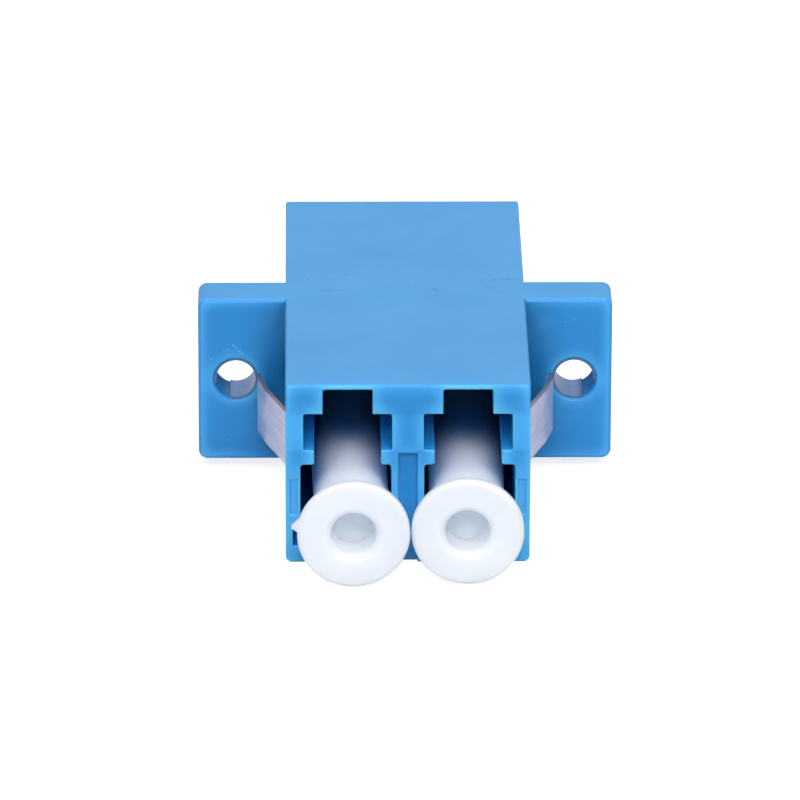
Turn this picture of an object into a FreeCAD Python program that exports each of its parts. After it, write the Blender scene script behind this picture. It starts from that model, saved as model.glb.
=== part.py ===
import FreeCAD, Part
import Sketcher
import math
import os

# LC duplex fibre adapter with screw flange, spring clip and dust caps.
# World frame: the origin lies midway between the two flange holes, on the
# flange's front face. +X is right, +Y runs from the front ports to the rear
# ones, +Z is up. Millimetres.

doc = FreeCAD.newDocument("LcDuplexAdapter")

# ---------------------------------------------------------------- sizes
sizes = doc.addObject("Spreadsheet::Sheet", "Sizes")
driving_sizes = [
    # flange
    ("flange_width", 22.0, "flange, left to right"),
    ("flange_height", 9.2, "flange, top to bottom"),
    ("flange_thickness", 2.55, "both halves of the flange together"),
    ("flange_corner", 0.5, "radius of the flange corners"),
    ("flange_edge", 0.17, "bevel round the flange face"),
    ("hole_inset", 2.0, "screw hole in from the end of the flange"),
    ("hole_lead_in", 0.1, "chamfer of the plastic round each bush"),
    # body
    ("body_width", 12.7, "body, left to right"),
    ("body_drop", 0.575, "body underside below the flange's lower edge"),
    ("half_length", 13.75, "weld plane to port mouth"),
    ("body_corner", 0.33, "radius of the lower long edges"),
    ("top_corner", 0.1, "bevel of the upper long edges"),
    ("brow_setback", 0.45, "upper front wall behind the port mouth"),
    ("brow_edge", 0.2, "radius between the top and the upper front wall"),
    ("lip_wall", 0.28, "wall over the latch notch"),
    ("channel_width", 1.03, "channel down the wall between the ports"),
    ("channel_depth", 0.25, "depth of that channel"),
    ("channel_gap", 0.15, "top of the channel below the lug floor"),
    ("dent_depth", 0.08, "shallow dent in each outer wall, beside the port"),
    ("dent_inner", 5.7, "middle to the inner side of the dent"),
    ("dent_outer", 6.14, "middle to the outer side of the dent"),
    ("dent_top", 0.52, "top of the dent below the screw holes"),
    ("dent_foot", 2.5, "foot of the dent below the screw holes"),
    ("overshoot", 1.0, "length by which a cut passes a face"),
    # ports
    ("port_pitch", 6.25, "between the two port axes"),
    ("port_drop", 1.98, "port axes below the screw holes"),
    ("cavity_half_height", 2.29, "plug cavity, axis to floor or roof"),
    ("cavity_inner", 2.28, "axis to the wall between the ports"),
    ("cavity_outer", 2.46, "axis to the outer wall"),
    ("cavity_corner", 0.2, "radius of the upper cavity corners"),
    ("slot_corner", 0.12, "radius of the neck, lug passage and notch corners"),
    ("neck_half", 1.74, "half width of the latch neck"),
    ("lug_floor", 3.08, "latch lug floor above the port axis"),
    ("lug_height", 1.85, "latch lug passage, floor to roof"),
    ("lug_half", 2.31, "half width of the lug passage"),
    ("notch_half", 1.3, "half width of the latch notch"),
    ("latch_wall", 3.4, "wall that the latch lugs hook behind"),
    ("chamber_roof", 0.5, "wall over the latch chamber"),
    ("groove_reach", 2.86, "axis to the end of the lower side groove"),
    ("groove_height", 1.12, "lower side groove, floor to top"),
    ("groove_depth", 6.0, "length of the lower side groove"),
    ("web", 1.0, "wall that carries the sleeve barrel, each half"),
    # sleeve and barrel
    ("sleeve_outer", 1.6, "split sleeve outside diameter"),
    ("sleeve_bore", 1.25, "split sleeve bore"),
    ("sleeve_length", 6.8, "split sleeve length"),
    ("sleeve_slit", 0.2, "width of the slit"),
    ("sleeve_play", 0.1, "free length at each end of the sleeve"),
    ("sleeve_gap", 0.03, "clearance round the sleeve"),
    ("barrel_outer", 3.0, "sleeve barrel outside diameter"),
    ("barrel_lip", 0.35, "end lip that keeps the sleeve in"),
    ("ferrule_way", 1.4, "hole through the end lip"),
    ("ferrule_lead_in", 0.1, "chamfer at the mouth of that hole"),
    ("barrel_chamfer", 0.2, "lead-in of the barrel end"),
    # weld pins between the halves
    ("pin_diameter", 0.9, "locating pin"),
    ("pin_length", 0.5, "locating pin"),
    ("pin_clearance", 0.05, "round and beyond each pin"),
    ("pin_inset", 3.7, "pin axis in from the end of the flange"),
    ("pin_height", 3.1, "pin axis above the holes"),
    # bushes
    ("bush_bore", 2.1, "screw hole through the bush"),
    ("bush_wall", 0.1, "wall of the rolled bush"),
    ("bush_inset", 0.1, "bush end below the flange face"),
    ("bush_opening", 60.0, "degrees that the rolled bush leaves open"),
    ("bush_turn_left", 47.0, "degrees from straight down to that opening, outwards"),
    ("bush_turn_right", 57.0, "degrees from straight down to that opening, outwards"),
    # clip
    ("sheet", 0.25, "thickness of the spring sheet"),
    ("clip_play", 0.05, "clearance between clip and housing"),
    ("clip_gap", 0.8, "wing tip to flange"),
    ("wing_length", 5.5, "length of a wing along the body"),
    ("wing_height", 2.95, "height of a wing"),
    ("wing_top", 0.67, "upper edge of a wing above the holes"),
    ("wing_spread", 1.5, "wing tip out from the body side"),
    ("curve_length", 1.8, "stretch in which a wing turns back, along the body"),
    ("curve_spread", 0.44, "outward run of that stretch"),
    ("wing_bend", 2.0, "radius of the two bends of a wing"),
    ("tip_length", 0.7, "straight end of a wing, along the body"),
    ("weld_overlap", 0.5, "wing root let into the band"),
    ("band_width", 3.2, "width of the U band"),
    ("leg_top", 3.3, "top of the legs above the holes"),
    ("hook_reach", 0.3, "hooks into the body side"),
    # caps
    ("disc_diameter", 5.84, "dust cap disc"),
    ("disc_thickness", 0.62, "dust cap disc"),
    ("disc_edge", 0.14, "bevel of the disc rim"),
    ("stem_root", 0.25, "flare where the stem meets the disc"),
    ("cap_stand", 3.3, "disc face out from the port mouth"),
    ("cap_pivot", 1.0, "barrel end to the point that a cap leans about"),
    ("stem_diameter", 3.95, "cap stem"),
    ("stem_lead", 0.15, "length of the stem's tapered lead-in"),
    ("stem_tip", 3.65, "cap stem at its inner end"),
    ("stem_bore", 3.3, "socket in the stem over the barrel"),
    ("stem_bore_depth", 4.6, "depth of that socket"),
    ("stem_gap", 0.7, "stem end to the web"),
    ("face_bore", 2.35, "blind hole in the disc face, under its rim"),
    ("face_bore_depth", 1.8, "depth of the blind hole"),
    ("bore_rim", 0.3, "flare at the mouth of the blind hole"),
    ("lean_front_left", 0.29, "disc centre off the port axis, inwards"),
    ("lean_front_right", 0.07, "disc centre off the port axis, inwards"),
    ("lean_rear_left", 0.12, "disc centre off the port axis, inwards"),
    ("lean_rear_right", 0.15, "disc centre off the port axis, inwards"),
    ("cap_droop", 0.18, "disc centre below the port axis"),
    ("cap_slip", 0.3, "front left cap further out than the others"),
    ("gate_length", 0.32, "gate stub on the disc rim"),
    ("gate_width", 0.6, "gate stub at its root"),
    ("gate_tip", 0.08, "gate stub at its tip"),
]
for row, (alias, value, note) in enumerate(driving_sizes, start=1):
    sizes.set(f"A{row}", note)
    sizes.set(f"B{row}", str(value))
    sizes.setAlias(f"B{row}", alias)
doc.recompute()


def size(alias):
    """A driving size as a number."""
    return float(sizes.get(alias))


def bind(item, prop, text):
    """Ties a property to an expression whose words are sheet aliases."""
    words = sorted((alias for alias, _, _ in driving_sizes), key=len, reverse=True)
    marked = text
    for number, word in enumerate(words):
        marked = marked.replace(word, f"@{number}@")
    for number, word in enumerate(words):
        marked = marked.replace(f"@{number}@", f"Sizes.{word}")
    item.setExpression(prop, marked)


# ---------------------------------------------------------------- helpers
def new_body(name):
    body = doc.addObject("PartDesign::Body", name)
    body.Label = name
    doc.recompute()
    return body


def new_sketch(body, name, role, offset=None):
    """Sketch on an origin plane; offset is measured along its normal.

    XZ_Plane faces -Y, so a positive offset lies in front of it.
    """
    sketch = body.newObject("Sketcher::SketchObject", name)
    for feature in body.Origin.OriginFeatures:
        if feature.Role == role:
            sketch.AttachmentSupport = (feature, [""])
    sketch.MapMode = "FlatFace"
    if offset:
        bind(sketch, "AttachmentOffset.Base.z", offset)
    return sketch


def outline(sketch, corners):
    """Closed outline through corners given as (across, up) expressions."""
    first = sketch.GeometryCount
    count = len(corners)
    turn = [2 * math.pi * i / count for i in range(count + 1)]
    for i in range(count):
        start = FreeCAD.Vector(math.cos(turn[i]), math.sin(turn[i]), 0)
        end = FreeCAD.Vector(math.cos(turn[i + 1]), math.sin(turn[i + 1]), 0)
        sketch.addGeometry(Part.LineSegment(start, end), False)
    for i in range(count):
        follower = first + (i + 1) % count
        sketch.addConstraint(Sketcher.Constraint("Coincident", first + i, 2, follower, 1))
    for i, (across, up) in enumerate(corners):
        for kind, text in (("DistanceX", across), ("DistanceY", up)):
            rule = Sketcher.Constraint(kind, -1, 1, first + i, 1, 1.0)
            index = sketch.addConstraint(rule)
            bind(sketch, f"Constraints[{index}]", text)


def rectangle(sketch, left, right, low, high):
    outline(sketch, [(left, low), (right, low), (right, high), (left, high)])


def circle(sketch, across, up, diameter):
    geometry = Part.Circle(FreeCAD.Vector(1, 1, 0), FreeCAD.Vector(0, 0, 1), 1)
    index = sketch.addGeometry(geometry, False)
    rules = (("DistanceX", across), ("DistanceY", up))
    for kind, text in rules:
        rule = Sketcher.Constraint(kind, -1, 1, index, 3, 1.0)
        bind(sketch, f"Constraints[{sketch.addConstraint(rule)}]", text)
    rule = Sketcher.Constraint("Diameter", index, 2.0)
    bind(sketch, f"Constraints[{sketch.addConstraint(rule)}]", diameter)


def pad(body, name, sketch, length, reverse=False, middle=False):
    feature = body.newObject("PartDesign::Pad", name)
    feature.Profile = sketch
    bind(feature, "Length", length)
    feature.Reversed = reverse
    feature.Midplane = middle
    doc.recompute()
    return feature


def pocket(body, name, sketch, length, reverse=False, middle=False):
    """Pocket that must take something away."""
    before = body.Shape.Volume
    feature = body.newObject("PartDesign::Pocket", name)
    feature.Profile = sketch
    bind(feature, "Length", length)
    feature.Reversed = reverse
    feature.Midplane = middle
    doc.recompute()
    if not body.Shape.Volume < before - 1e-6:
        raise RuntimeError(f"{name} of {body.Label} cuts nothing")
    return feature


def edges(feature, test):
    """Names of the edges whose middle point and direction pass the test."""
    names = []
    for number, edge in enumerate(feature.Shape.Edges, start=1):
        middle = edge.valueAt((edge.FirstParameter + edge.LastParameter) / 2)
        if test(edge, middle):
            names.append(f"Edge{number}")
    return names


def straight(edge, axis):
    """True for a straight edge along the axis (0, 1 or 2)."""
    if edge.Curve.TypeId != "Part::GeomLine":
        return False
    return abs(edge.Curve.Direction[axis]) > 0.999


def near(value, target):
    return abs(value - target) < 1e-4


def ring(edge, level, radius):
    """True for a circle of that radius lying at local y = level."""
    if edge.Curve.TypeId != "Part::GeomCircle":
        return False
    return near(edge.Curve.Center.y, level) and near(edge.Curve.Radius, radius)


def round_edges(body, name, base, names, radius):
    feature = body.newObject("PartDesign::Fillet", name)
    feature.Base = (base, names)
    bind(feature, "Radius", radius)
    doc.recompute()
    return feature


def bevel_edges(body, name, base, names, width):
    feature = body.newObject("PartDesign::Chamfer", name)
    feature.Base = (base, names)
    bind(feature, "Size", width)
    doc.recompute()
    return feature


# ---------------------------------------------------------------- housing
# Levels shared by several features. Each is an expression of sheet aliases.
top = "flange_height / 2"
bottom = "-flange_height / 2 - body_drop"
half_body = "body_width / 2"
mouth = "half_length"
half_flange = "flange_thickness / 2"
hole_x = "(flange_width / 2 - hole_inset)"
pin_x = "(flange_width / 2 - pin_inset)"
floor_level = "lug_floor - port_drop"
roof_level = "lug_floor - port_drop + lug_height"
barrel_reach = "sleeve_length / 2 + sleeve_play + barrel_lip"
clip_back = "flange_thickness / 2 + clip_gap + wing_length"
seat_depth = "sheet + clip_play"


def port_x(side, reach="0"):
    """Distance across from the middle: a port axis plus an outward reach."""
    sign = "" if side > 0 else "-"
    return f"{sign}(port_pitch / 2 + {reach})"


def brow(body):
    """Upper front wall, leaning back over the lug passages to a round top edge."""
    profile = new_sketch(body, "BrowProfile", "YZ_Plane")
    outline(profile, [
        (f"-{mouth} - overshoot", floor_level),
        (f"-{mouth}", floor_level),
        (f"-{mouth} + brow_setback", roof_level),
        (f"-{mouth} + brow_setback", f"{top} + overshoot"),
        (f"-{mouth} - overshoot", f"{top} + overshoot"),
    ])
    cut = pocket(body, "Brow", profile, "body_width + 2 * overshoot", middle=True)
    face = size("brow_setback") - size("half_length")
    high = size("flange_height") / 2
    names = edges(cut, lambda e, m: straight(e, 0) and near(m.y, face) and near(m.z, high))
    round_edges(body, "BrowEdge", cut, names, "brow_edge")


def housing_shell(body):
    """Body block and half flange, with the corners of the moulding."""
    block = new_sketch(body, "BodyOutline", "XZ_Plane")
    rectangle(block, f"-{half_body}", half_body, bottom, top)
    pad(body, "BodyBlock", block, mouth)
    brow(body)
    ears = new_sketch(body, "FlangeOutline", "XZ_Plane")
    rectangle(ears, "-flange_width / 2", "flange_width / 2", "-flange_height / 2", top)
    flange = pad(body, "FlangeHalf", ears, half_flange)
    side = size("flange_width") / 2
    corners = edges(flange, lambda e, m: straight(e, 1) and near(abs(m.x), side))
    rounded = round_edges(body, "FlangeCorners", flange, corners, "flange_corner")
    face, top_level = -size("flange_thickness") / 2, size("flange_height") / 2

    def face_edge(edge, middle):
        level = near(abs(middle.z), top_level) or near(abs(middle.x), side)
        return near(middle.y, face) and level and abs(middle.x) > size("body_width") / 2

    names = edges(rounded, face_edge)
    rounded = bevel_edges(body, "FlangeEdges", rounded, names, "flange_edge")
    low = -size("flange_height") / 2 - size("body_drop")
    keels = edges(rounded, lambda e, m: straight(e, 1) and near(m.z, low))
    rounded = round_edges(body, "LowerCorners", rounded, keels, "body_corner")
    high = size("flange_height") / 2
    wide = size("body_width") / 2
    rims = edges(rounded, lambda e, m: straight(e, 1) and near(m.z, high) and near(abs(m.x), wide))
    return bevel_edges(body, "UpperCorners", rounded, rims, "top_corner")


def middle_channel(body):
    """Shallow channel down the wall between the ports."""
    channel = new_sketch(body, "ChannelOutline", "XZ_Plane", mouth)
    rectangle(channel, "-channel_width / 2", "channel_width / 2",
              f"{bottom} - overshoot", f"{floor_level} - channel_gap")
    pocket(body, "MiddleChannel", channel, "channel_depth")


def wall_dents(body):
    """Shallow dents in the outer walls, over the side grooves."""
    dents = new_sketch(body, "DentOutlines", "XZ_Plane", mouth)
    for sign in ("-", ""):
        rectangle(dents, f"{sign}dent_inner", f"{sign}dent_outer", "-dent_foot", "-dent_top")
    pocket(body, "WallDents", dents, "dent_depth")


def slot_corners(body, name, cut, half_width, levels):
    """Rounds the corners that a slot over each port has at the given levels."""
    pitch, half = size("port_pitch") / 2, size(half_width)

    def corner(edge, middle):
        side = near(abs(abs(middle.x) - pitch), half)
        return straight(edge, 1) and side and any(near(middle.z, level) for level in levels)

    round_edges(body, name, cut, edges(cut, corner), "slot_corner")


def port_bores(body):
    """Square plug cavity with the neck that joins it to the latch slot."""
    bores = new_sketch(body, "PortOutlines", "XZ_Plane", mouth)
    for side in (-1, 1):
        outer, inner = port_x(side, "cavity_outer"), port_x(side, "-cavity_inner")
        neck_out, neck_in = port_x(side, "neck_half"), port_x(side, "-neck_half")
        ceiling = "cavity_half_height - port_drop"
        outline(bores, [
            (outer, "-cavity_half_height - port_drop"),
            (inner, "-cavity_half_height - port_drop"),
            (inner, ceiling),
            (neck_in, ceiling),
            (neck_in, floor_level),
            (neck_out, floor_level),
            (neck_out, ceiling),
            (outer, ceiling),
        ])
    bore = pocket(body, "PortBores", bores, f"{mouth} - web")
    ceiling = size("cavity_half_height") - size("port_drop")
    reach = size("port_pitch") / 2 + size("cavity_outer")
    inner = size("port_pitch") / 2 - size("cavity_inner")

    def upper_corner(edge, middle):
        across = abs(middle.x)
        side = near(across, reach) or near(across, inner)
        return straight(edge, 1) and side and near(middle.z, ceiling)

    corners = edges(bore, upper_corner)
    rounded = round_edges(body, "CavityCorners", bore, corners, "cavity_corner")
    slot_corners(body, "NeckCorners", rounded, "neck_half", [ceiling])


def latch_ways(body):
    """Latch notches and lug passages, the chambers behind and the side grooves."""
    passages = new_sketch(body, "LugPassages", "XZ_Plane", mouth)
    for side in (-1, 1):
        rectangle(passages, port_x(side, "-lug_half"), port_x(side, "lug_half"),
                  floor_level, roof_level)
    cut = pocket(body, "LugPassagesCut", passages, f"{mouth} - web")
    levels = size("lug_floor") - size("port_drop"), size("lug_floor") - size("port_drop") + size("lug_height")
    slot_corners(body, "PassageCorners", cut, "lug_half", levels)
    notches = new_sketch(body, "NotchOutlines", "XZ_Plane", mouth)
    for side in (-1, 1):
        rectangle(notches, port_x(side, "-notch_half"), port_x(side, "notch_half"),
                  roof_level, f"{top} - lip_wall")
    cut = pocket(body, "Notches", notches, "latch_wall + overshoot")
    slot_corners(body, "NotchCorners", cut, "notch_half", [size("flange_height") / 2 - size("lip_wall")])
    chambers = new_sketch(body, "ChamberOutlines", "XZ_Plane")
    for side in (-1, 1):
        rectangle(chambers, port_x(side, "-lug_half"), port_x(side, "lug_half"),
                  roof_level, f"{top} - chamber_roof")
    pocket(body, "LatchChambers", chambers, f"{mouth} - latch_wall", reverse=True)
    grooves = new_sketch(body, "GrooveOutlines", "XZ_Plane", mouth)
    for side in (-1, 1):
        rectangle(grooves, port_x(side, "neck_half"), port_x(side, "groove_reach"),
                  "-cavity_half_height - port_drop",
                  "-cavity_half_height - port_drop + groove_height")
    pocket(body, "SideGrooves", grooves, "groove_depth")


def sleeve_barrels(body):
    """Barrels on the web, bored for the split sleeves."""
    tubes = new_sketch(body, "BarrelOutlines", "XZ_Plane")
    for side in (-1, 1):
        circle(tubes, port_x(side), "-port_drop", "barrel_outer")
    barrel = pad(body, "Barrels", tubes, barrel_reach)
    tip = -(size("sleeve_length") / 2 + size("sleeve_play") + size("barrel_lip"))
    rims = edges(barrel, lambda e, m: ring(e, tip, size("barrel_outer") / 2))
    bevel_edges(body, "BarrelLeadIn", barrel, rims, "barrel_chamfer")
    seats = new_sketch(body, "SleeveBores", "XZ_Plane")
    for side in (-1, 1):
        circle(seats, port_x(side), "-port_drop", "sleeve_outer + 2 * sleeve_gap")
    pocket(body, "SleeveSeats", seats, "sleeve_length / 2 + sleeve_play", reverse=True)
    ways = new_sketch(body, "FerruleWays", "XZ_Plane")
    for side in (-1, 1):
        circle(ways, port_x(side), "-port_drop", "ferrule_way")
    cut = pocket(body, "FerruleHoles", ways, f"{barrel_reach} + overshoot", reverse=True)
    rims = edges(cut, lambda e, m: ring(e, tip, size("ferrule_way") / 2))
    bevel_edges(body, "FerruleLeadIn", cut, rims, "ferrule_lead_in")


def bush_holes(body):
    """Holes for the bushes, with a small lead-in on the outer face."""
    holes = new_sketch(body, "BushHoles", "XZ_Plane")
    for side in ("-", ""):
        circle(holes, f"{side}{hole_x}", "0", "bush_bore + 2 * bush_wall")
    cut = pocket(body, "BushSeats", holes, f"{half_flange} + overshoot", reverse=True)
    face = -size("flange_thickness") / 2
    radius = size("bush_bore") / 2 + size("bush_wall")
    rims = edges(cut, lambda e, m: ring(e, face, radius))
    bevel_edges(body, "BushLeadIn", cut, rims, "hole_lead_in")


def weld_locators(body):
    """A pin on the left ear and a socket in the right one, so two halves mate."""
    pin = new_sketch(body, "PinOutline", "XZ_Plane")
    circle(pin, f"-{pin_x}", "pin_height", "pin_diameter")
    pad(body, "LocatingPin", pin, "pin_length", reverse=True)
    socket = new_sketch(body, "SocketOutline", "XZ_Plane")
    circle(socket, pin_x, "pin_height", "pin_diameter + 2 * pin_clearance")
    pocket(body, "PinSocket", socket, "pin_length + pin_clearance", reverse=True)


def clip_seat(body):
    """Shallow track for the U band, hook slots and room behind the wings."""
    track_front = f"{clip_back} + band_width + clip_play"
    track = new_sketch(body, "ClipTrack", "XZ_Plane", track_front)
    inner, outer = f"{half_body} - ({seat_depth})", f"{half_body} + overshoot"
    for sign in ("-", ""):
        rectangle(track, f"{sign}({inner})", f"{sign}({outer})",
                  f"{bottom} - overshoot", "leg_top + clip_play")
    pocket(body, "ClipTrackSides", track, "band_width + 2 * clip_play")
    floor_track = new_sketch(body, "ClipFloorTrack", "XZ_Plane", track_front)
    rectangle(floor_track, f"-{half_body} - overshoot", f"{half_body} + overshoot",
              f"{bottom} - overshoot", f"{bottom} + {seat_depth}")
    pocket(body, "ClipTrackFloor", floor_track, "band_width + 2 * clip_play")
    slots = new_sketch(body, "HookSlots", "XZ_Plane", track_front)
    for sign in ("-", ""):
        rectangle(slots, f"{sign}({inner} - hook_reach - clip_play)", f"{sign}({outer})",
                  "leg_top - sheet - clip_play", "leg_top + clip_play")
    pocket(body, "HookSlotsCut", slots, "band_width + 2 * clip_play")
    room = new_sketch(body, "WingRoom", "XZ_Plane", clip_back)
    for sign in ("-", ""):
        rectangle(room, f"{sign}({inner})", f"{sign}({outer})",
                  "wing_top - wing_height - clip_play", "wing_top + clip_play")
    pocket(body, "WingRoomCut", room, f"{clip_back} - {half_flange}")


def housing(name, with_clip_seat):
    """One moulded half: weld plane at local y = 0, port mouths at -half_length."""
    body = new_body(name)
    housing_shell(body)
    middle_channel(body)
    wall_dents(body)
    port_bores(body)
    latch_ways(body)
    sleeve_barrels(body)
    bush_holes(body)
    weld_locators(body)
    if with_clip_seat:
        clip_seat(body)
    return body


front_housing = housing("front_housing", True)
bind(front_housing, "Placement.Base.y", half_flange)

rear_housing = housing("rear_housing", False)
rear_housing.Placement.Rotation = FreeCAD.Rotation(FreeCAD.Vector(0, 0, 1), 180)
bind(rear_housing, "Placement.Base.y", half_flange)


# ---------------------------------------------------------------- sleeves
def split_sleeve(name, side):
    """Ceramic sleeve on a port axis, slit along its top."""
    body = new_body(name)
    ring = new_sketch(body, "SleeveSection", "XZ_Plane")
    circle(ring, port_x(side), "-port_drop", "sleeve_outer")
    circle(ring, port_x(side), "-port_drop", "sleeve_bore")
    pad(body, "SleeveTube", ring, "sleeve_length", middle=True)
    slit = new_sketch(body, "SlitOutline", "XZ_Plane")
    rectangle(slit, port_x(side, "-sleeve_slit / 2"), port_x(side, "sleeve_slit / 2"),
              "-port_drop", "-port_drop + sleeve_outer")
    pocket(body, "Slit", slit, "sleeve_length + overshoot", middle=True)
    bind(body, "Placement.Base.y", half_flange)
    return body


sleeve_left = split_sleeve("sleeve_left", -1)
sleeve_right = split_sleeve("sleeve_right", 1)


# ---------------------------------------------------------------- bushes
def flange_bush(name, side, turn):
    """Rolled metal bush in a flange hole, its open seam low on the outer side."""
    body = new_body(name)
    sign = "-" if side < 0 else ""
    section = new_sketch(body, "BushSection", "XZ_Plane")
    circle(section, f"{sign}{hole_x}", "0", "bush_bore + 2 * bush_wall")
    circle(section, f"{sign}{hole_x}", "0", "bush_bore")
    pad(body, "BushTube", section, "flange_thickness - 2 * bush_inset", middle=True)
    opening = new_sketch(body, "OpeningOutline", "XZ_Plane")
    low_lip, high_lip = f"({turn} - bush_opening / 2)", f"({turn} + bush_opening / 2)"
    outline(opening, [
        (f"{sign}{hole_x}", "0"),
        (f"{sign}({hole_x} + bush_bore * sin{low_lip})", f"-bush_bore * cos{low_lip}"),
        (f"{sign}({hole_x} + bush_bore * sin{high_lip})", f"-bush_bore * cos{high_lip}"),
    ])
    pocket(body, "Opening", opening, "flange_thickness + overshoot", middle=True)
    bind(body, "Placement.Base.y", half_flange)
    return body


bush_left = flange_bush("bush_left", -1, "bush_turn_left")
bush_right = flange_bush("bush_right", 1, "bush_turn_right")


# ---------------------------------------------------------------- clip
def clip_band(body):
    """U band round the underside, its legs hooked into the body sides."""
    inner = f"{half_body} - sheet"
    low = f"{bottom} + clip_play"
    band = new_sketch(body, "BandSection", "XZ_Plane", clip_back)
    outline(band, [
        (f"-({half_body})", low),
        (half_body, low),
        (half_body, "leg_top"),
        (f"{inner} - hook_reach", "leg_top"),
        (f"{inner} - hook_reach", "leg_top - sheet"),
        (inner, "leg_top - sheet"),
        (inner, f"{low} + sheet"),
        (f"-({inner})", f"{low} + sheet"),
        (f"-({inner})", "leg_top - sheet"),
        (f"-({inner} - hook_reach)", "leg_top - sheet"),
        (f"-({inner} - hook_reach)", "leg_top"),
        (f"-({half_body})", "leg_top"),
    ])
    block = pad(body, "Band", band, "band_width")
    corner = size("body_width") / 2
    low_edge = -size("flange_height") / 2 - size("body_drop") + size("clip_play")

    def outer_corner(edge, middle):
        level = near(middle.z, low_edge) or near(middle.z, size("leg_top"))
        return straight(edge, 1) and near(abs(middle.x), corner) and level

    names = edges(block, outer_corner)
    outer = round_edges(body, "BandBends", block, names, "sheet + clip_play")
    inside = size("body_width") / 2 - size("sheet")

    def inner_corner(edge, middle):
        low_bend = near(middle.z, low_edge + size("sheet"))
        high_bend = near(middle.z, size("leg_top") - size("sheet"))
        return straight(edge, 1) and near(abs(middle.x), inside) and (low_bend or high_bend)

    names = edges(outer, inner_corner)
    round_edges(body, "BandInnerBends", outer, names, "clip_play")


def clip_wings(body):
    """Two wings that flare back towards the flange and end parallel to the body."""
    wings = new_sketch(body, "WingSections", "XY_Plane", "wing_top - wing_height")
    root_y = f"-({clip_back})"
    tip_y = f"-({half_flange} + clip_gap)"
    straight_y = f"{tip_y} - tip_length"
    curve_y = f"{straight_y} - curve_length"
    tip_x = f"{half_body} + wing_spread"
    curve_x = f"{tip_x} - curve_spread"
    for sign in ("-", ""):
        outline(wings, [
            (f"{sign}({half_body} - sheet)", f"{root_y} - weld_overlap"),
            (f"{sign}({half_body})", f"{root_y} - weld_overlap"),
            (f"{sign}({half_body})", root_y),
            (f"{sign}({curve_x})", curve_y),
            (f"{sign}({tip_x})", straight_y),
            (f"{sign}({tip_x})", tip_y),
            (f"{sign}({tip_x} - sheet)", tip_y),
            (f"{sign}({tip_x} - sheet)", straight_y),
            (f"{sign}({curve_x} - sheet)", curve_y),
            (f"{sign}({half_body} - sheet)", root_y),
        ])
    spread = pad(body, "Wings", wings, "wing_height")
    straight_start = -(size("flange_thickness") / 2 + size("clip_gap") + size("tip_length"))
    curve_start = straight_start - size("curve_length")

    def bend(edge, middle):
        return straight(edge, 2) and (near(middle.y, straight_start) or near(middle.y, curve_start))

    round_edges(body, "WingBends", spread, edges(spread, bend), "wing_bend")


spring_clip = new_body("spring_clip")
clip_band(spring_clip)
clip_wings(spring_clip)
bind(spring_clip, "Placement.Base.y", half_flange)


# ---------------------------------------------------------------- caps
# Cap frame: axis along local y, the pivot inside the barrel's end is the local
# origin, the disc lies towards -y and the stem end towards +y.
pivot_depth = f"({barrel_reach} - cap_pivot)"
face_y = f"-({mouth} - {pivot_depth} + cap_stand)"
back_y = f"{face_y} + disc_thickness"
stem_end_y = f"{pivot_depth} - web - stem_gap"


def dust_cap(name, side, front, lean, gate_angle=None, slip=0.0):
    """Polythene cap: a rimmed disc and a hollow stem that slips on the barrel."""
    body = new_body(name)
    profile = new_sketch(body, "CapProfile", "XY_Plane")
    disc, stem, bore = "disc_diameter / 2", "stem_diameter / 2", "face_bore / 2"
    outline(profile, [
        ("0", f"{face_y} + face_bore_depth"),
        (bore, f"{face_y} + face_bore_depth"),
        (bore, f"{face_y} + bore_rim"),
        (f"{bore} + bore_rim", face_y),
        (f"{disc} - disc_edge", face_y),
        (disc, f"{face_y} + disc_edge"),
        (disc, f"{back_y} - disc_edge"),
        (f"{disc} - disc_edge", back_y),
        (f"{stem} + stem_root", back_y),
        (stem, f"{back_y} + stem_root"),
        (stem, f"{stem_end_y} - stem_lead"),
        ("stem_tip / 2", stem_end_y),
        ("stem_bore / 2", stem_end_y),
        ("stem_bore / 2", f"{stem_end_y} - stem_bore_depth"),
        ("0", f"{stem_end_y} - stem_bore_depth"),
    ])
    turn = body.newObject("PartDesign::Revolution", "CapTurn")
    turn.Profile = profile
    turn.ReferenceAxis = (profile, ["V_Axis"])
    turn.Angle = 360
    doc.recompute()
    if gate_angle is not None:
        gate_stub(body, gate_angle)
    place_cap(body, side, front, lean, slip)
    return body


def gate_stub(body, angle):
    """Pointed stub of the moulding gate on the disc rim."""
    stub = new_sketch(body, "GateOutline", "XZ_Plane", f"-({face_y}) - disc_edge")
    rim = "-disc_diameter / 2"
    outline(stub, [
        (f"{rim} + disc_edge", "-gate_width / 2"),
        (f"{rim} - gate_length", "-gate_tip"),
        (f"{rim} - gate_length", "0"),
        (f"{rim} + disc_edge", "gate_width"),
    ])
    stub.AttachmentOffset.Rotation = FreeCAD.Rotation(FreeCAD.Vector(0, 0, 1), angle)
    bind(stub, "AttachmentOffset.Base.z", f"-({face_y}) - disc_edge")
    pad(body, "GateStub", stub, "disc_thickness - 2 * disc_edge", reverse=True)


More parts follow.
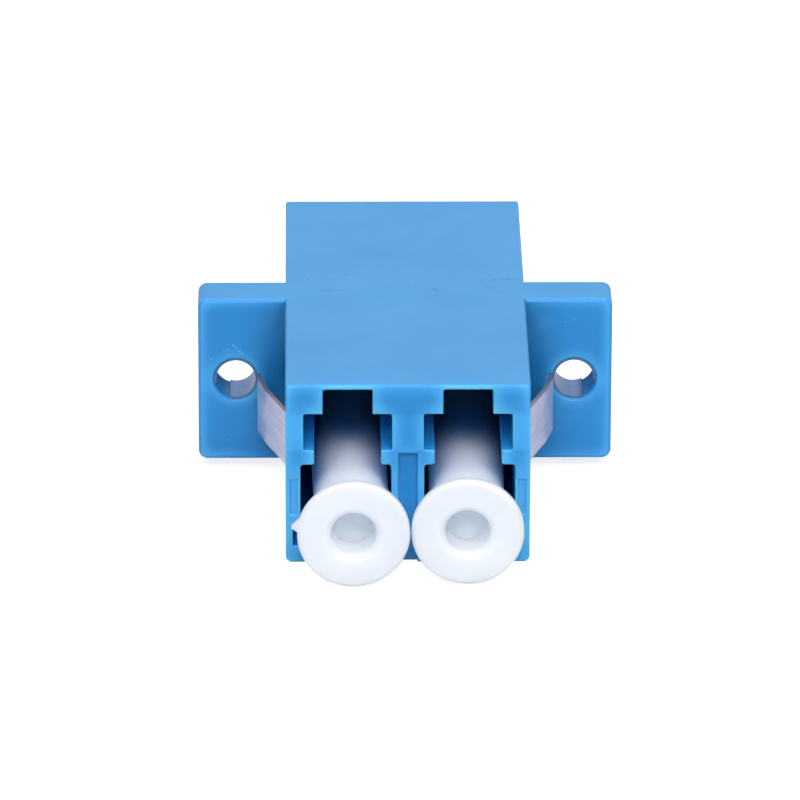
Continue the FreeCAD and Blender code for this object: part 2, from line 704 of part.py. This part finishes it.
def place_cap(body, side, front, lean, slip):
    """Leans the cap in its port about the pivot inside the barrel's end."""
    reach = size("sleeve_length") / 2 + size("sleeve_play") + size("barrel_lip") - size("cap_pivot")
    swing = size("half_length") - reach + size("cap_stand")
    inward = math.degrees(math.atan(size(lean) / swing))
    droop = math.degrees(math.atan(size("cap_droop") / swing))
    yaw = FreeCAD.Rotation(FreeCAD.Vector(0, 0, 1), -side * inward if front else side * inward)
    facing = FreeCAD.Rotation(FreeCAD.Vector(0, 0, 1), 0 if front else 180)
    pitch = FreeCAD.Rotation(FreeCAD.Vector(1, 0, 0), droop)
    middle = size("flange_thickness") / 2
    spot = FreeCAD.Vector(side * size("port_pitch") / 2,
                          middle - reach if front else middle + reach,
                          -size("port_drop"))
    turn = yaw * facing * pitch
    body.Placement = FreeCAD.Placement(spot + turn.multVec(FreeCAD.Vector(0, -slip, 0)), turn)


cap_front_left = dust_cap("cap_front_left", -1, True, "lean_front_left", gate_angle=-8,
                          slip=size("cap_slip"))
cap_front_right = dust_cap("cap_front_right", 1, True, "lean_front_right")
cap_rear_left = dust_cap("cap_rear_left", -1, False, "lean_rear_left")
cap_rear_right = dust_cap("cap_rear_right", 1, False, "lean_rear_right", gate_angle=30)

doc.recompute()

# ---------------------------------------------------------------- export
nodes = [
    front_housing,
    rear_housing,
    sleeve_left,
    sleeve_right,
    bush_left,
    bush_right,
    spring_clip,
    cap_front_left,
    cap_front_right,
    cap_rear_left,
    cap_rear_right,
]
for item in doc.Objects:
    if "Invalid" in item.State or "Error" in item.State:
        raise RuntimeError(f"{item.Label} failed: {item.State}")
for node in nodes:
    if node.Shape.isNull() or not node.Shape.isValid():
        raise RuntimeError(f"{node.Label} has no valid shape")

os.makedirs("parts", exist_ok=True)
for node in nodes:
    node.Shape.exportStep(f"parts/{node.Label}.step")
    box = node.Shape.BoundBox
    print(f"{node.Label}: {len(node.Shape.Solids)} solid, {node.Shape.Volume:.2f} mm3, "
          f"x {box.XMin:.2f}..{box.XMax:.2f} y {box.YMin:.2f}..{box.YMax:.2f} "
          f"z {box.ZMin:.2f}..{box.ZMax:.2f}")
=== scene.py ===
import math

import bmesh
import bpy
from mathutils import Matrix, Vector


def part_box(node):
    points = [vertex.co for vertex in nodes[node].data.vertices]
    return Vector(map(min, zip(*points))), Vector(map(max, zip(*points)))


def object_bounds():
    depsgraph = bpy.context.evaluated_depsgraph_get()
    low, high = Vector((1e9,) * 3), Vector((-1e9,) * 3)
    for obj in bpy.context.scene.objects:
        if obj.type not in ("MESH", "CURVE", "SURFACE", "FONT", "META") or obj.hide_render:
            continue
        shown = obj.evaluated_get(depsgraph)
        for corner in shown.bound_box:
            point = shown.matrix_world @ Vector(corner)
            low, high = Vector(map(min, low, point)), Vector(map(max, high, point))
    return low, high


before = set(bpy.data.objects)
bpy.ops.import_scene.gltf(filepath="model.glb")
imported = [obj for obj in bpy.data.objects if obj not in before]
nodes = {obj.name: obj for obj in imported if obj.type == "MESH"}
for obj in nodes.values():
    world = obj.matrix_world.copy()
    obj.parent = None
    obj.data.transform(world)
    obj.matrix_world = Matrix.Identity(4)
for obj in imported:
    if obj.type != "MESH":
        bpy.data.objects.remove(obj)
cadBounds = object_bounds()
scene = bpy.context.scene
mm = 0.001  # everything below is thought of in millimetres and built in metres

# The locating pins of both halves reach equally far past the weld plane.
weldY = (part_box("front_housing")[1].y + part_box("rear_housing")[0].y) / 2
flangeBackY = 2 * weldY     # the origin lies on the front of the flange
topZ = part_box("rear_housing")[1].z
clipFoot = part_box("spring_clip")[0].z
print("frame loaded:", ", ".join(sorted(nodes)))


def linear(hexColour):
    # sRGB hex, as a paint chart gives it, to the linear colour that a shader wants
    parts = [int(hexColour[i:i + 2], 16) / 255 for i in (1, 3, 5)]
    flat = [p / 12.92 if p <= 0.04045 else ((p + 0.055) / 1.055) ** 2.4 for p in parts]
    return (*flat, 1)


def addNode(tree, kind, values=None, links=None, **properties):
    node = tree.nodes.new(kind)
    for name, value in properties.items():
        setattr(node, name, value)
    for socket, value in (values or {}).items():
        node.inputs[socket].default_value = value
    for socket, source in (links or {}).items():
        tree.links.new(source, node.inputs[socket])
    return node


def newMaterial(name):
    material = bpy.data.materials.new(name)
    material.use_nodes = True
    tree = material.node_tree
    tree.nodes.clear()
    shader = addNode(tree, "ShaderNodeBsdfPrincipled")
    addNode(tree, "ShaderNodeOutputMaterial", links={"Surface": shader.outputs["BSDF"]})
    return material, tree, shader


def setShader(tree, shader, links, values):
    for socket, source in links.items():
        tree.links.new(source, shader.inputs[socket])
    for socket, value in values.items():
        shader.inputs[socket].default_value = value


def noise(tree, place, size, detail):
    # soft spots that are this many millimetres across
    spots = addNode(tree, "ShaderNodeTexNoise", {"Scale": 1 / (size * mm), "Detail": detail},
                    {"Vector": place})
    return spots.outputs["Fac"]


def lines(tree, place, spacing):
    # noise drawn out into lines; the spacing is one length in millimetres for each axis
    scale = tuple(1 / (length * mm) for length in spacing)
    stretched = addNode(tree, "ShaderNodeMapping", {"Scale": scale}, {"Vector": place})
    drawn = addNode(tree, "ShaderNodeTexNoise", {"Scale": 1.0, "Detail": 2.0},
                    {"Vector": stretched.outputs["Vector"]})
    return drawn.outputs["Fac"]


def ramp(tree, source, start, full, low=0.0, high=1.0):
    # low where the source is at start, high where it is at full, and even in between
    node = addNode(tree, "ShaderNodeMapRange", {"From Min": start, "From Max": full,
                   "To Min": low, "To Max": high}, {"Value": source})
    return node.outputs["Result"]


def combine(tree, operation, first, second=None):
    # either of the two may be a number or another node's output
    node = addNode(tree, "ShaderNodeMath", operation=operation)
    for index, source in enumerate((first, second)):
        if isinstance(source, (int, float)):
            node.inputs[index].default_value = source
        elif source is not None:
            tree.links.new(source, node.inputs[index])
    return node.outputs[0]


def blend(tree, share, under, over):
    # a colour may be hex or another node's output; the share is how much of the second shows
    node = addNode(tree, "ShaderNodeMix", links={0: share}, data_type="RGBA")
    for index, colour in ((6, under), (7, over)):
        if isinstance(colour, str):
            node.inputs[index].default_value = linear(colour)
        else:
            tree.links.new(colour, node.inputs[index])
    return node.outputs[2]


def bump(tree, height, strength, depth, normal=None):
    links = {"Height": height}
    if normal is not None:
        links["Normal"] = normal
    node = addNode(tree, "ShaderNodeBump", {"Strength": strength, "Distance": depth * mm}, links)
    return node.outputs["Normal"]


def openness(tree, reach, inside=False):
    # 1 where nothing of the piece is within reach, in mm; from the inside, where it is thick
    node = addNode(tree, "ShaderNodeAmbientOcclusion", {"Distance": reach * mm},
                   samples=8, inside=inside, only_local=True)
    return node.outputs["AO"]


# PBT, injection moulded in spark-eroded steel: an even satin that lets a little light in, so that
# edges glow, with a painted glow added on thin walls; corners that hands have rubbed are paler.
pbt = {
    "colour": "#2998D9",
    "deepColour": "#208BCC",    # where the melt met, slightly darker
    "paintedGlowColour": "#5EC4FC",    # painted glow on thin walls and outer corners, where light would come through
    "thin": 0.8,                # mm of plastic that still lets light through
    "cornerColour": "#1478AD",  # painted shade on the ears, next to the body
    "corner": 2.5,              # mm, how far from the body an ear is darker
    "rubbed": "#62B4EE",
    "scored": "#0F66AC",        # the bottom of a hairline, in shade
    "mottle": 4.0,              # mm, drift of the colour
    "patch": 0.6,               # mm, patches in which an edge is rubbed
    "breaks": 0.35,             # mm, stretches in which a hairline shows
    "grain": 0.07,              # mm; such grain is often about 0.03, too fine to show
    "grainHeight": 0.002,       # mm
    "edge": 0.15,               # mm, radius that the mould and polishing leave on edges
    "weldEdge": 0.015,          # mm, the same at the weld, which is nearly flush
    "weldZone": (0.7, 0.2),     # mm from the weld, where its effect starts and is full
    "wear": 0.22,               # how far rubbing pales an edge
    "depth": 0.8,               # mm that light travels inside
    "travel": (0.25, 0.65, 1.0),    # share of that depth for red, green and blue
    "glow": 0.8,                # share of the light that goes in
    "roughness": 0.4,
    "sheen": 0.35,              # under the usual 0.5: the white room reflects more than it lights
    "ior": 1.54,
}

# Hairlines and nicks on this one, in mm. The lines run along the two steps that the weld
# and the mould leave across the top, and are broken; one scratch crosses them.
seamLine, mouldLine = weldY / mm + 0.03, flangeBackY / mm + 0.24
topMark = topZ / mm
hairlines = [
    {"from": (-5.6, mouldLine), "to": (-5.1, mouldLine), "width": 0.074, "depth": 0.44},
    {"from": (-4.6, mouldLine), "to": (-2.9, mouldLine), "width": 0.074, "depth": 0.69},
    {"from": (1.7, mouldLine), "to": (3.8, mouldLine), "width": 0.074, "depth": 0.5},
    {"from": (3.9, mouldLine), "to": (5.9, mouldLine), "width": 0.13, "depth": 1},
    {"from": (-5.3, seamLine), "to": (-2.75, seamLine), "width": 0.085, "depth": 0.69},
    {"from": (1.6, seamLine), "to": (2.5, seamLine), "width": 0.085, "depth": 0.5},
    {"from": (1.5, 1.5), "to": (1.68, 1.2), "width": 0.15, "depth": 1},
    {"from": (4.0, 2.5), "to": (5.05, 0.85), "width": 0.11, "depth": 0.44},
]
nicks = [
    {"at": (-9.36, 0, 1.69), "size": 0.07}, {"at": (-9.14, 0, 1.95), "size": 0.09},
    {"at": (-8.98, 0, 1.85), "size": 0.08}, {"at": (-8.80, 0, 1.62), "size": 0.09},
    {"at": (-8.66, 0, 1.48), "size": 0.08}, {"at": (-9.62, 0, 1.66), "size": 0.05},
    {"at": (-10.34, 0, 1.16), "size": 0.08}, {"at": (-9.44, 0, -3.46), "size": 0.05},
    {"at": (8.54, 0, 3.25), "size": 0.05}, {"at": (8.96, 0, 3.42), "size": 0.07},
    {"at": (-5.31, 2.74, topMark), "size": 0.08}, {"at": (0.35, 2.6, topMark), "size": 0.06},
]


def strongest(tree, masks):
    total = masks[0]
    for mask in masks[1:]:
        total = combine(tree, "MAXIMUM", total, mask)
    return total


def hairlineMask(tree, place, line):
    # full on the stretch between both ends, fading to nothing at its half width
    start, end = (Vector((*line[key], topMark)) * mm for key in ("from", "to"))
    along = (end - start).normalized()
    offset = addNode(tree, "ShaderNodeVectorMath", {1: start}, {0: place}, operation="SUBTRACT")
    reach = addNode(tree, "ShaderNodeVectorMath", {1: along}, {0: offset.outputs[0]},
                    operation="DOT_PRODUCT")
    held = addNode(tree, "ShaderNodeClamp", {"Max": (end - start).length},
                   {"Value": reach.outputs["Value"]})
    foot = addNode(tree, "ShaderNodeVectorMath", {0: along}, {"Scale": held.outputs[0]},
                   operation="SCALE")
    gap = addNode(tree, "ShaderNodeVectorMath", links={0: offset.outputs[0], 1: foot.outputs[0]},
                  operation="DISTANCE")
    return ramp(tree, gap.outputs["Value"], line["width"] * mm, 0.0, high=line["depth"])


def nickMask(tree, place, nick):
    gap = addNode(tree, "ShaderNodeVectorMath", {1: Vector(nick["at"]) * mm}, {0: place},
                  operation="DISTANCE")
    return ramp(tree, gap.outputs["Value"], nick["size"] * mm, nick["size"] * 0.4 * mm)


def rubbedEdges(tree, place, rounded, flatNormal):
    # an edge shows where its rounded normal turns away from the flat one, and is rubbed in patches
    turn = addNode(tree, "ShaderNodeVectorMath", links={0: rounded, 1: flatNormal},
                   operation="DOT_PRODUCT")
    rim = ramp(tree, turn.outputs["Value"], 0.995, 0.86, high=pbt["wear"])
    return combine(tree, "MULTIPLY", rim, noise(tree, place, pbt["patch"], 4.0))


def mouldedPbt():
    material, tree, shader = newMaterial("mouldedPbt")
    place = addNode(tree, "ShaderNodeTexCoord").outputs["Object"]
    flatNormal = addNode(tree, "ShaderNodeNewGeometry").outputs["Normal"]
    aim = addNode(tree, "ShaderNodeSeparateXYZ", links={0: flatNormal})
    onEnds = ramp(tree, combine(tree, "ABSOLUTE", aim.outputs["Y"]), 0.6, 0.9)
    drift = noise(tree, place, pbt["mottle"], 3.0)
    tone = blend(tree, drift, pbt["colour"], pbt["deepColour"])

    # at the weld both halves are flush: hardly any rounding, and light stays near the surface
    along = addNode(tree, "ShaderNodeSeparateXYZ", links={0: place})
    fromWeld = combine(tree, "ABSOLUTE", combine(tree, "SUBTRACT", along.outputs["Y"], weldY))
    welded = ramp(tree, fromWeld, *(length * mm for length in pbt["weldZone"]))
    radius = addNode(tree, "ShaderNodeMix", {2: pbt["edge"] * mm, 3: pbt["weldEdge"] * mm}, {0: welded})
    inner = ramp(tree, welded, 0.0, 1.0, low=pbt["glow"], high=0.0)
    bevel = addNode(tree, "ShaderNodeBevel", links={"Radius": radius.outputs[0]}, samples=6)
    rounded = bevel.outputs["Normal"]

    # painted glow: thin walls and outer corners are paler, as if light came through; only on the end faces,
    # as on the long faces it would draw the ports through the roof
    thin = ramp(tree, openness(tree, pbt["thin"], inside=True), 0.95, 0.2)
    lit = blend(tree, combine(tree, "MULTIPLY", thin, onEnds), tone, pbt["paintedGlowColour"])

    # painted shade: on both faces of the ears the colour deepens towards the body
    cornered = ramp(tree, openness(tree, pbt["corner"]), 0.95, 0.55)
    offEar = combine(tree, "ABSOLUTE", combine(tree, "SUBTRACT", fromWeld, weldY))
    onEar = combine(tree, "MULTIPLY", combine(tree, "LESS_THAN", offEar, 0.05 * mm), onEnds)
    deepened = blend(tree, combine(tree, "MULTIPLY", cornered, onEar), lit, pbt["cornerColour"])

    nicked = strongest(tree, [nickMask(tree, place, nick) for nick in nicks])
    pale = combine(tree, "MAXIMUM", rubbedEdges(tree, place, rounded, flatNormal), nicked)
    painted = blend(tree, pale, deepened, pbt["rubbed"])

    # hairlines are dark where they are deep, and break up along their length
    lined = strongest(tree, [hairlineMask(tree, place, line) for line in hairlines])
    unbroken = ramp(tree, noise(tree, place, pbt["breaks"], 2.0), 0.36, 0.56, low=0.15)
    final = blend(tree, combine(tree, "MULTIPLY", lined, unbroken), painted, pbt["scored"])

    satin = ramp(tree, drift, 0.0, 1.0, low=pbt["roughness"] - 0.05, high=pbt["roughness"] + 0.07)
    grain = bump(tree, noise(tree, place, pbt["grain"], 2.0), 0.5, pbt["grainHeight"], rounded)
    setShader(tree, shader,
              {"Base Color": final, "Roughness": satin, "Normal": grain, "Subsurface Weight": inner},
              {"IOR": pbt["ior"], "Specular IOR Level": pbt["sheen"],
               "Subsurface Radius": pbt["travel"], "Subsurface Scale": pbt["depth"] * mm})
    return material


# Low-density polyethylene, moulded and left frosted: milky, waxy and lit from inside, so
# thin rims glow and the stem fades softly into the dark of the port.
polyethylene = {
    "colour": "#EBEFFF",
    "shade": "#E0E7FE",
    "cloud": 2.2,              # mm, drift between the two
    "hollow": "#FAFCFF",       # painted on the foot of a hollow, as if light came through
    "hollowEnd": "#E6EFF1",    # painted on its end, where the wall behind is thick
    "hollowReach": 1.5,        # mm
    "depth": 1.3,              # mm that light travels inside
    "travel": (1.0, 1.0, 1.05),    # share of that depth for red, green and blue
    "grain": 0.15,             # mm; such frost is often about 0.05, too fine to show
    "grainHeight": 0.004,      # mm
    "edge": 0.2,               # mm
    "roughness": 0.38,
    "ior": 1.51,
}


def frostedPolyethylene():
    material, tree, shader = newMaterial("frostedPolyethylene")
    place = addNode(tree, "ShaderNodeTexCoord").outputs["Object"]
    drift = noise(tree, place, polyethylene["cloud"], 3.0)
    tone = blend(tree, drift, polyethylene["colour"], polyethylene["shade"])

    # painted light: the foot of the blind hole is paler and its end greener than the rest
    hollow = ramp(tree, openness(tree, polyethylene["hollowReach"]), 0.85, 0.6)
    facing = addNode(tree, "ShaderNodeNewGeometry")
    aim = addNode(tree, "ShaderNodeSeparateXYZ", links={0: facing.outputs["Normal"]})
    upward = ramp(tree, aim.outputs["Z"], 0.1, 0.7)
    endOn = ramp(tree, combine(tree, "ABSOLUTE", aim.outputs["Y"]), 0.9, 0.98)
    foot = combine(tree, "MULTIPLY", hollow, upward)
    end = combine(tree, "MULTIPLY", hollow, endOn)
    milky = blend(tree, end, blend(tree, foot, tone, polyethylene["hollow"]), polyethylene["hollowEnd"])

    frost = noise(tree, place, polyethylene["grain"], 3.0)
    rounded = addNode(tree, "ShaderNodeBevel", {"Radius": polyethylene["edge"] * mm}, samples=6)
    frosted = bump(tree, frost, 0.4, polyethylene["grainHeight"], rounded.outputs["Normal"])
    waxy = ramp(tree, frost, 0.0, 1.0, low=polyethylene["roughness"] - 0.06,
                high=polyethylene["roughness"] + 0.08)
    setShader(tree, shader, {"Base Color": milky, "Roughness": waxy, "Normal": frosted},
              {"IOR": polyethylene["ior"], "Subsurface Weight": 1.0,
               "Subsurface Radius": polyethylene["travel"],
               "Subsurface Scale": polyethylene["depth"] * mm})
    return material


# Stainless spring steel, cold rolled and stamped: fine lines along the rolling direction,
# and a straw-brown heat tint on the sheared edges.
springSteel = {
    "colour": "#E2DFEE",
    "lineColour": "#A7A5BC",   # the bottom of a rolling line
    "edgeColour": "#A08C80",
    "line": 0.12,              # mm between rolling lines; coarser than usual, so that they show
    "lineLength": 1.6,         # mm
    "lineHeight": 0.0008,      # mm
    "stain": 1.1,              # mm, dull spots
    "bandHeight": 0.5,         # mm up from the clip's foot; the band under the body lies lower
    "edge": 0.03,              # mm
    "roughness": 0.36,
    "brushing": 0.5,           # how much the lines stretch a reflection
}


def stampedSpringSteel():
    material, tree, shader = newMaterial("stampedStainlessSpringSteel")
    place = addNode(tree, "ShaderNodeTexCoord").outputs["Object"]
    length = springSteel["lineLength"]
    rolling = lines(tree, place, (length, length, springSteel["line"]))
    rolled = blend(tree, rolling, springSteel["colour"], springSteel["lineColour"])

    facing = addNode(tree, "ShaderNodeNewGeometry")
    aim = addNode(tree, "ShaderNodeSeparateXYZ", links={0: facing.outputs["Normal"]})
    edgeOn = ramp(tree, combine(tree, "ABSOLUTE", aim.outputs["Z"]), 0.8, 0.95, high=0.85)
    # the band under the body lies flat, so its broad faces look down too, but aren't sheared
    spot = addNode(tree, "ShaderNodeSeparateXYZ", links={0: place})
    aboveBand = combine(tree, "GREATER_THAN", spot.outputs["Z"], clipFoot + springSteel["bandHeight"] * mm)
    sheared = combine(tree, "MULTIPLY", edgeOn, aboveBand)
    tinted = blend(tree, sheared, rolled, springSteel["edgeColour"])

    stain = noise(tree, place, springSteel["stain"], 4.0)
    dull = ramp(tree, stain, 0.35, 0.75, low=springSteel["roughness"] - 0.04,
                high=springSteel["roughness"] + 0.1)
    rounded = addNode(tree, "ShaderNodeBevel", {"Radius": springSteel["edge"] * mm}, samples=6)
    lined = bump(tree, rolling, 0.5, springSteel["lineHeight"], rounded.outputs["Normal"])
    setShader(tree, shader, {"Base Color": tinted, "Roughness": dull, "Normal": lined},
              {"Metallic": 1.0, "Anisotropic": springSteel["brushing"]})
    return material


# Brass strip rolled into a bush and nickel plated: smooth, cool, with faint drag lines. It is
# tinted bluer than bare nickel, which stands in for the blue plastic that it would mirror.
nickel = {
    "colour": "#5E7DAD",
    "shade": "#466798",
    "cloud": 0.8,              # mm, drift between the two
    "line": 0.08,              # mm; coarser than usual, so that the drag lines show
    "lineLength": 1.6,         # mm
    "lineHeight": 0.001,       # mm
    "roughness": 0.3,
}


def rolledNickelPlatedBrass():
    material, tree, shader = newMaterial("rolledNickelPlatedBrass")
    place = addNode(tree, "ShaderNodeTexCoord").outputs["Object"]
    drag = lines(tree, place, (nickel["line"], nickel["lineLength"], nickel["line"]))
    cloud = noise(tree, place, nickel["cloud"], 3.0)
    tone = blend(tree, cloud, nickel["colour"], nickel["shade"])
    polish = ramp(tree, cloud, 0.0, 1.0, low=nickel["roughness"] - 0.05, high=nickel["roughness"] + 0.08)
    dragged = bump(tree, drag, 0.4, nickel["lineHeight"])
    setShader(tree, shader, {"Base Color": tone, "Roughness": polish, "Normal": dragged},
              {"Metallic": 1.0})
    return material


# Zirconia, sintered and ground: dense, ivory white and glossy, slightly lit from inside.
zirconia = {
    "colour": "#EFEBE0",
    "shade": "#E4DFD1",
    "cloud": 1.5,              # mm, drift between the two
    "grind": 0.04,             # mm; coarser than usual, so that the marks show
    "grindHeight": 0.0006,     # mm
    "roughness": 0.16,
    "depth": 0.3,              # mm that light travels inside
    "glow": 0.2,               # share of the light that goes in
    "ior": 2.1,
}


def groundZirconia():
    material, tree, shader = newMaterial("groundZirconia")
    place = addNode(tree, "ShaderNodeTexCoord").outputs["Object"]
    cloud = noise(tree, place, zirconia["cloud"], 2.0)
    tone = blend(tree, cloud, zirconia["colour"], zirconia["shade"])
    ground = bump(tree, noise(tree, place, zirconia["grind"], 1.0), 0.3, zirconia["grindHeight"])
    sheen = ramp(tree, cloud, 0.0, 1.0, low=zirconia["roughness"] - 0.04, high=zirconia["roughness"] + 0.06)
    setShader(tree, shader, {"Base Color": tone, "Roughness": sheen, "Normal": ground},
              {"IOR": zirconia["ior"], "Subsurface Weight": zirconia["glow"],
               "Subsurface Scale": zirconia["depth"] * mm})
    return material


def dress(names, material):
    for name in names:
        mesh = nodes[name].data
        if not mesh.materials:
            mesh.materials.append(material)
        for index in range(len(mesh.materials)):
            mesh.materials[index] = material


dress(["front_housing", "rear_housing"], mouldedPbt())
dress(["cap_front_left", "cap_front_right", "cap_rear_left", "cap_rear_right"], frostedPolyethylene())
dress(["spring_clip"], stampedSpringSteel())
dress(["bush_left", "bush_right"], rolledNickelPlatedBrass())
dress(["sleeve_left", "sleeve_right"], groundZirconia())
print("materials assigned")


# Studio: a white room with a pale floor and soft round lamps, three high in front, one
# overhead and one behind for the top faces.
studio = {
    "worldStrength": 0.03,
    "floorColour": "#F4F4F4",
    "floorGlow": 0.8,          # what the camera sees of the floor besides its lit colour
    "floorReach": 1500,        # mm from the middle to each side
    "floorGap": 0.02,          # mm under the part, so that the two faces don't mix
    "lamps": {                 # watts, then width and place in mm
        "key": (1.3, 300, (0, -650, 650)),
        "softLeft": (2.4, 400, (-350, -600, 600)),
        "softRight": (3.0, 400, (350, -600, 600)),
        "overhead": (4.2, 700, (0, -100, 900)),
        "behind": (0.8, 600, (0, 600, 700)),
    },
}


def makeWorld():
    # the camera, metal and anything clear see white; as a light the room is faint
    world = bpy.data.worlds.new("whiteRoom")
    world.use_nodes = True
    tree = world.node_tree
    tree.nodes.clear()
    rays = addNode(tree, "ShaderNodeLightPath")
    sees = combine(tree, "MAXIMUM", rays.outputs["Is Camera Ray"], rays.outputs["Is Glossy Ray"])
    shows = combine(tree, "MAXIMUM", sees, rays.outputs["Is Transmission Ray"])
    level = ramp(tree, shows, 0.0, 1.0, low=studio["worldStrength"], high=1.0)
    sky = addNode(tree, "ShaderNodeBackground", {"Color": (1, 1, 1, 1)}, {"Strength": level})
    addNode(tree, "ShaderNodeOutputWorld", links={"Surface": sky.outputs["Background"]})
    scene.world = world


def floorPaint():
    # it lights the part as pale paint does; the camera sees it glow to white, with the shadow
    material = bpy.data.materials.new("paintedFloor")
    material.use_nodes = True
    tree = material.node_tree
    tree.nodes.clear()
    paint = addNode(tree, "ShaderNodeBsdfDiffuse", {"Color": linear(studio["floorColour"])})
    dim = addNode(tree, "ShaderNodeBsdfDiffuse", {"Color": (0.5, 0.5, 0.5, 1)})
    glow = addNode(tree, "ShaderNodeEmission", {"Strength": studio["floorGlow"]})
    seen = addNode(tree, "ShaderNodeAddShader",
                   links={0: dim.outputs["BSDF"], 1: glow.outputs["Emission"]})
    rays = addNode(tree, "ShaderNodeLightPath")
    mixed = addNode(tree, "ShaderNodeMixShader", links={0: rays.outputs["Is Camera Ray"],
                    1: paint.outputs["BSDF"], 2: seen.outputs["Shader"]})
    addNode(tree, "ShaderNodeOutputMaterial", links={"Surface": mixed.outputs["Shader"]})
    return material


def makeFloor():
    mesh = bpy.data.meshes.new("floor")
    form = bmesh.new()
    bmesh.ops.create_grid(form, x_segments=2, y_segments=2, size=studio["floorReach"] * mm)
    form.to_mesh(mesh)
    form.free()
    mesh.materials.append(floorPaint())
    floor = bpy.data.objects.new("floor", mesh)
    floor.location.z = cadBounds[0][2] - studio["floorGap"] * mm
    scene.collection.objects.link(floor)


def makeLamp(name, power, size, place):
    lamp = bpy.data.lights.new(name, "AREA")
    lamp.shape = "DISK"
    lamp.size = size * mm
    lamp.energy = power
    holder = bpy.data.objects.new(name, lamp)
    holder.location = Vector(place) * mm
    holder.rotation_euler = (-holder.location).to_track_quat("-Z", "Y").to_euler()
    scene.collection.objects.link(holder)


makeWorld()
makeFloor()
for name, (power, size, place) in studio["lamps"].items():
    makeLamp(name, power, size, place)
print("studio set")


# Long lens, slightly above, square on to the front.
shot = {
    "azimuth": 0.73, "elevation": 22.32, "roll": 0.16,    # degrees
    "distance": 451.1, "lens": 381.0, "sensor": 36,       # mm
    "aim": (-0.263, 0.0, -1.203),                         # mm from the middle of the flange
}


def makeCamera():
    side, tilt, roll = (math.radians(shot[key]) for key in ("azimuth", "elevation", "roll"))
    ahead = Vector((math.sin(side) * math.cos(tilt), math.cos(side) * math.cos(tilt), -math.sin(tilt)))
    right = Vector((math.cos(side), -math.sin(side), 0))
    up = right.cross(ahead)
    turned = math.cos(roll) * right + math.sin(roll) * up
    raised = math.cos(roll) * up - math.sin(roll) * right
    lens = bpy.data.cameras.new("longLens")
    lens.lens = shot["lens"]
    lens.sensor_width = shot["sensor"]
    lens.clip_start = 0.01
    lens.clip_end = 20
    camera = bpy.data.objects.new("longLens", lens)
    spot = Vector(shot["aim"]) * mm - ahead * shot["distance"] * mm
    facing = Matrix((turned, raised, -ahead)).transposed().to_4x4()
    camera.matrix_world = Matrix.Translation(spot) @ facing
    scene.collection.objects.link(camera)
    scene.camera = camera


makeCamera()
scene.view_settings.view_transform = "Standard"
print("camera placed")
